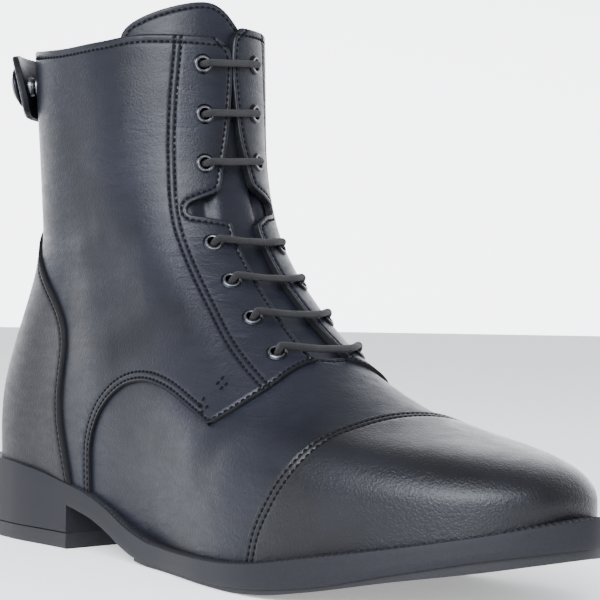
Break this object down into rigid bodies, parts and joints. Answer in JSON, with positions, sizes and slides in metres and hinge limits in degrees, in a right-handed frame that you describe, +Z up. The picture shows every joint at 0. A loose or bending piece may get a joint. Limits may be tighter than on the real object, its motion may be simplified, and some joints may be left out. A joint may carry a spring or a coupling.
{
  "type": "jodhpur boot",
  "caption": "Black leather lace-up jodhpur boot for the right foot, with toe cap, rear zip under a snap strap, and a low-heeled rubber sole.",
  "frame": {"origin": "on the floor under the middle of the heel, which is the heel's rest mount", "axes": "+X towards the toe, +Y towards the wearer's left (the inner side of this right boot), +Z up from the floor"},
  "size_m": [0.307, 0.1028, 0.2136],
  "materials": {
    "black leather": "smooth, semi-gloss",
    "insole leather": "matte",
    "sole rubber": "matte, fine texture",
    "tread rubber": "matte",
    "eyelet metal": "gunmetal, polished rim",
    "lace": "braided, matte",
    "zip tape": "woven, matte",
    "zip metal": "dark, satin",
    "snap cap": "black, satin",
    "snap metal": "bright nickel"
  },
  "bodies": {
    "root": {"sole_unit": "sole rubber", "tread": "tread rubber", "top_lift": "tread rubber", "upper": "black leather", "toe_cap": "black leather", "counter_right": "black leather", "counter_left": "black leather", "insole": "insole leather", "tongue": "black leather", "eyelet_right_1": "eyelet metal", "eyelet_left_1": "eyelet metal", "eyelet_right_2": "eyelet metal", "eyelet_left_2": "eyelet metal", "eyelet_right_3": "eyelet metal", "eyelet_left_3": "eyelet metal", "eyelet_right_4": "eyelet metal", "eyelet_left_4": "eyelet metal", "eyelet_right_5": "eyelet metal", "eyelet_left_5": "eyelet metal", "eyelet_right_6": "eyelet metal", "eyelet_left_6": "eyelet metal", "eyelet_right_7": "eyelet metal", "eyelet_left_7": "eyelet metal", "lace_bar_1": "lace", "lace_bar_2": "lace", "lace_bar_3": "lace", "lace_bar_4": "lace", "lace_bar_5": "lace", "lace_bar_6": "lace", "lace_bar_7": "lace", "zip_tape": "zip tape", "zip_chain": "zip metal", "zip_slider": "zip metal", "strap": "black leather", "snap_cap": "snap cap", "snap_socket": "snap metal"}
  },
  "joints": []
}
